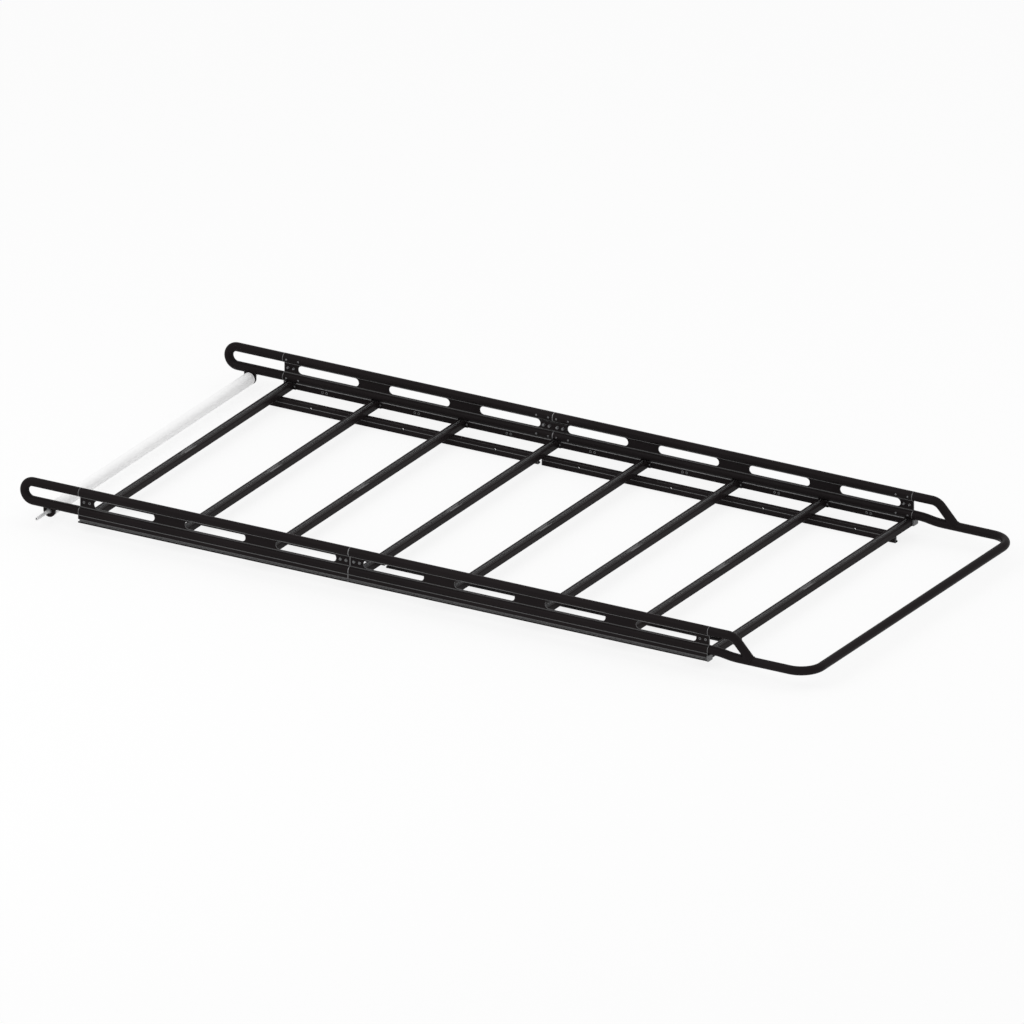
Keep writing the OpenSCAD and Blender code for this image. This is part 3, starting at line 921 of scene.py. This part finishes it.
class RACK_OT_tube_screws(bpy.types.Operator):
    """Screws through the inner sides of the bulges into what reaches inside them"""

    bl_idname = "rack.tube_screws"
    bl_label = "Tube Screws"

    def execute(self, context):
        sizes = context.scene.rack_fasteners
        head_d = sizes.tube_screw_d
        steps = (sizes.first_tube_screw, sizes.second_tube_screw)
        for side in SIDES:
            rail = rail_places(side)
            seat = math.sqrt(rail.bulge_r**2 - (head_d / 2) ** 2)
            along = [rail.rear + step for step in steps]
            along += [rail.joint + sign * step for sign in (-1, 1) for step in steps]
            along += [rail.front - step for step in steps]
            places = [
                facing((x, rail.y - rail.out * seat, z), (0, -rail.out, 0))
                for z in (rail.low_z, rail.high_z)
                for x in along
            ]
            head = button_head(head_d, height=0.36 * head_d, socket_d=0.4 * head_d)
            add_fasteners(f"{side}_tube_screws", head, places)
        return {"FINISHED"}


class RACK_OT_threaded_inserts(bpy.types.Operator):
    """Flanged threaded inserts in the feet, and closed ones in the ends of the webs"""

    bl_idname = "rack.threaded_inserts"
    bl_label = "Threaded Inserts"

    def execute(self, context):
        sizes = context.scene.rack_fasteners
        flange_d = sizes.insert_flange_d
        for side, out in SIDES.items():
            in_feet = [facing(centre, (0, -out, 0)) for centre, _ in rail_holes(side, "_holes_")]
            flange = washer(flange_d, inner_d=0.54 * flange_d, thickness=0.1 * flange_d)
            add_fasteners(f"{side}_threaded_inserts", flange, in_feet)
            rail = rail_places(side)
            web_t = abs(rail.web_outer - rail.web_inner)
            end_holes = rail_holes(side, "_end_holes")
            hole_d = end_holes[0][1]
            in_webs = [facing((centre.x, rail.web_outer, centre.z), (0, out, 0)) for centre, _ in end_holes]
            add_fasteners(f"{side}_web_inserts", closed_insert(sizes, hole_d, web_t), in_webs)
        return {"FINISHED"}


class RACK_OT_bracket_screws(bpy.types.Operator):
    """Screws through the ears of the cross bars' brackets"""

    bl_idname = "rack.bracket_screws"
    bl_label = "Bracket Screws"

    def execute(self, context):
        head_d = context.scene.rack_fasteners.ear_screw_d
        ahead = 0.64 * head_d
        for side, out in SIDES.items():
            places = []
            for number in range(1, BAR_COUNT):
                low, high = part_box(f"cross_bar_{number}")
                face = high.y if out > 0 else low.y
                places.append(facing((high.x + ahead, face, middle(low, high, 2)), (0, -out, 0)))
            head = button_head(head_d, height=0.4 * head_d, socket_d=0.42 * head_d)
            add_fasteners(f"{side}_bracket_screws", head, places)
        return {"FINISHED"}


class RACK_OT_welds(bpy.types.Operator):
    """Weld beads where the braces meet the loop and the roller brackets meet the hoops"""

    bl_idname = "rack.welds"
    bl_label = "Welds"

    def execute(self, context):
        sizes = context.scene.rack_fasteners
        for side in SIDES:
            rail = rail_places(side)
            self.brace_weld(side, rail, sizes)
            self.bracket_welds(side, rail, sizes)
        return {"FINISHED"}

    def brace_weld(self, side, rail, sizes):
        """A bead along the saddle where two equal tubes meet: two half ellipses."""
        brace_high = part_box(f"{side}_front_brace")[1]
        loop_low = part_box("front_loop")[0]
        r = rail.tube_r
        tube_z = loop_low.z + r
        toe = math.tan(sizes.brace_angle / 2)
        centre_x = brace_high.x - r * toe
        steps = 44
        ripple = 0.12
        centres = []
        for step in range(2 * steps):
            ahead = step < steps
            turn = math.radians(-90 + 180 * (step % steps) / steps)
            turn = turn if ahead else -turn
            lean = toe if ahead else -1 / toe
            outward = Vector((0, math.sin(turn), math.cos(turn)))
            crossing = Vector((centre_x + r * lean * math.cos(turn), rail.y, tube_z))
            centres.append((crossing + r * outward, outward))
        rings = []
        for index, (centre, outward) in enumerate(centres):
            following = centres[(index + 1) % len(centres)][0]
            before = centres[index - 1][0]
            radius = sizes.weld_r * (1 + (ripple if index % 2 else -ripple))
            rings.append((centre, following - before, outward, radius))
        add_weld(f"{side}_brace_weld", sweep(rings, closed=True))

    def bracket_welds(self, side, rail, sizes):
        """A straight bead along each face of the roller bracket, under the hoop's lower leg."""
        low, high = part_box(f"{side}_roller_bracket")
        bead_r = 0.8 * sizes.weld_r
        end_swell = 0.4
        steps = 40
        ripple = 0.15
        beads = []
        for y in (low.y, high.y):
            z = rail.low_z - math.sqrt(rail.tube_r**2 - (y - rail.y) ** 2)
            rings = []
            for step in range(steps + 1):
                x = low.x + (high.x - low.x) * step / steps
                swell = 1 + (ripple if step % 2 else -ripple)
                if step in (0, steps):
                    swell = end_swell
                rings.append((Vector((x, y, z)), Vector((1, 0, 0)), UP, bead_r * swell))
            beads.append(sweep(rings))
        add_weld(f"{side}_bracket_welds", join(beads))


class RACK_OT_spindle_clips(bpy.types.Operator):
    """Spring clips and washers that keep the spindle between its brackets"""

    bl_idname = "rack.spindle_clips"
    bl_label = "Spindle Clips"

    def execute(self, context):
        sizes = context.scene.rack_fasteners
        spindle_low, spindle_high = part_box("roller_spindle")
        spindle_d = spindle_high.z - spindle_low.z
        x = middle(spindle_low, spindle_high, 0)
        z = middle(spindle_low, spindle_high, 2)
        places = []
        for side, out in SIDES.items():
            low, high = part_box(f"{side}_roller_bracket")
            places.append(facing((x, high.y if out > 0 else low.y, z), (0, out, 0)))
        flat = washer(sizes.clip_d, spindle_d, sizes.clip_washer_t, sides=32)
        clip = washer(0.86 * sizes.clip_d, spindle_d, sizes.clip_t, sides=32)
        add_fasteners("spindle_clips", join([flat, lifted(clip, sizes.clip_washer_t)]), places)
        return {"FINISHED"}


class RACK_OT_studio(bpy.types.Operator):
    """White floor, soft lamps and the camera"""

    bl_idname = "rack.studio"
    bl_label = "Studio"

    def execute(self, context):
        studio = context.scene.rack_studio
        self.floor(context.scene, studio)
        self.lamp(context.scene, "key_lamp", studio.key_place, studio.key_power, studio.lamp_size)
        self.lamp(context.scene, "fill_lamp", studio.fill_place, studio.fill_power, studio.lamp_size)
        self.sky(context.scene, studio)
        self.camera(context.scene, studio)
        context.scene.view_settings.view_transform = "Standard"
        return {"FINISHED"}

    def floor(self, scene, studio):
        sheet = bmesh.new()
        bmesh.ops.create_grid(sheet, x_segments=1, y_segments=1, size=studio.floor_size / 2)
        mesh = bpy.data.meshes.new("floor")
        sheet.to_mesh(mesh)
        sheet.free()
        mesh.materials.append(white_floor(studio))
        floor = bpy.data.objects.new("floor", mesh)
        scene.collection.objects.link(floor)

    def lamp(self, scene, name, place, energy, size):
        """A square lamp that shines at the rack's centre."""
        lamp = bpy.data.lights.new(name, "AREA")
        lamp.energy = energy
        lamp.size = size
        shining = bpy.data.objects.new(name, lamp)
        shining.location = place
        shining.rotation_euler = Vector(place).to_track_quat("Z", "Y").to_euler()
        scene.collection.objects.link(shining)

    def sky(self, scene, studio):
        """Light from all round, which the camera sees as white."""
        world = bpy.data.worlds.new("studio")
        world.use_nodes = True
        sky = Nodes(world.node_tree)
        seen = sky.node("ShaderNodeLightPath", output="Is Camera Ray")
        strength = sky.node("ShaderNodeMix", inputs={"Factor": seen, "A": studio.sky, "B": 1.0})
        background = sky.node("ShaderNodeBackground", inputs={"Color": WHITE, "Strength": strength})
        sky.node("ShaderNodeOutputWorld", inputs={"Surface": background})
        scene.world = world

    def camera(self, scene, studio):
        lens = bpy.data.cameras.new("camera")
        lens.type = "ORTHO"
        lens.ortho_scale = studio.frame_width
        lens.clip_end = studio.sight
        camera = bpy.data.objects.new("camera", lens)
        turn, tilt = studio.azimuth, studio.elevation
        to_right = Vector((math.cos(turn), math.sin(turn), 0))
        look = Vector((-math.sin(turn) * math.cos(tilt), math.cos(turn) * math.cos(tilt), -math.sin(tilt)))
        up = to_right.cross(look)
        camera.rotation_euler = Matrix((to_right, up, -look)).transposed().to_euler()
        camera.location = studio.aim_up * up - studio.aim_left * to_right - studio.distance * look
        scene.collection.objects.link(camera)
        scene.camera = camera


OPERATORS = (
    RACK_OT_studio,
    RACK_OT_finishes,
    RACK_OT_sawn_ends,
    RACK_OT_joint_bolts,
    RACK_OT_tube_screws,
    RACK_OT_threaded_inserts,
    RACK_OT_bracket_screws,
    RACK_OT_welds,
    RACK_OT_spindle_clips,
)


class RACK_PT_panel(bpy.types.Panel):
    """The rack's settings and pieces"""

    bl_idname = "RACK_PT_panel"
    bl_label = "Van Roof Rack"
    bl_space_type = "VIEW_3D"
    bl_region_type = "UI"
    bl_category = "Roof Rack"

    def draw(self, context):
        layout = self.layout
        for group in (context.scene.rack_finishes, context.scene.rack_fasteners, context.scene.rack_studio):
            settings = layout.box()
            for name in group.__annotations__:
                settings.prop(group, name)
        for operator in OPERATORS:
            layout.operator(operator.bl_idname)


GROUPS = {"rack_finishes": RackFinishes, "rack_fasteners": RackFasteners, "rack_studio": RackStudio}


def register():
    for kind in (*GROUPS.values(), *OPERATORS, RACK_PT_panel):
        bpy.utils.register_class(kind)
    for name, group in GROUPS.items():
        setattr(bpy.types.Scene, name, bpy.props.PointerProperty(type=group))


def unregister():
    for name in GROUPS:
        delattr(bpy.types.Scene, name)
    for kind in reversed((*GROUPS.values(), *OPERATORS, RACK_PT_panel)):
        bpy.utils.unregister_class(kind)


def main():
    register()
    for operator in OPERATORS:
        family, name = operator.bl_idname.split(".")
        getattr(getattr(bpy.ops, family), name)()


if __name__ == "__main__":
    main()
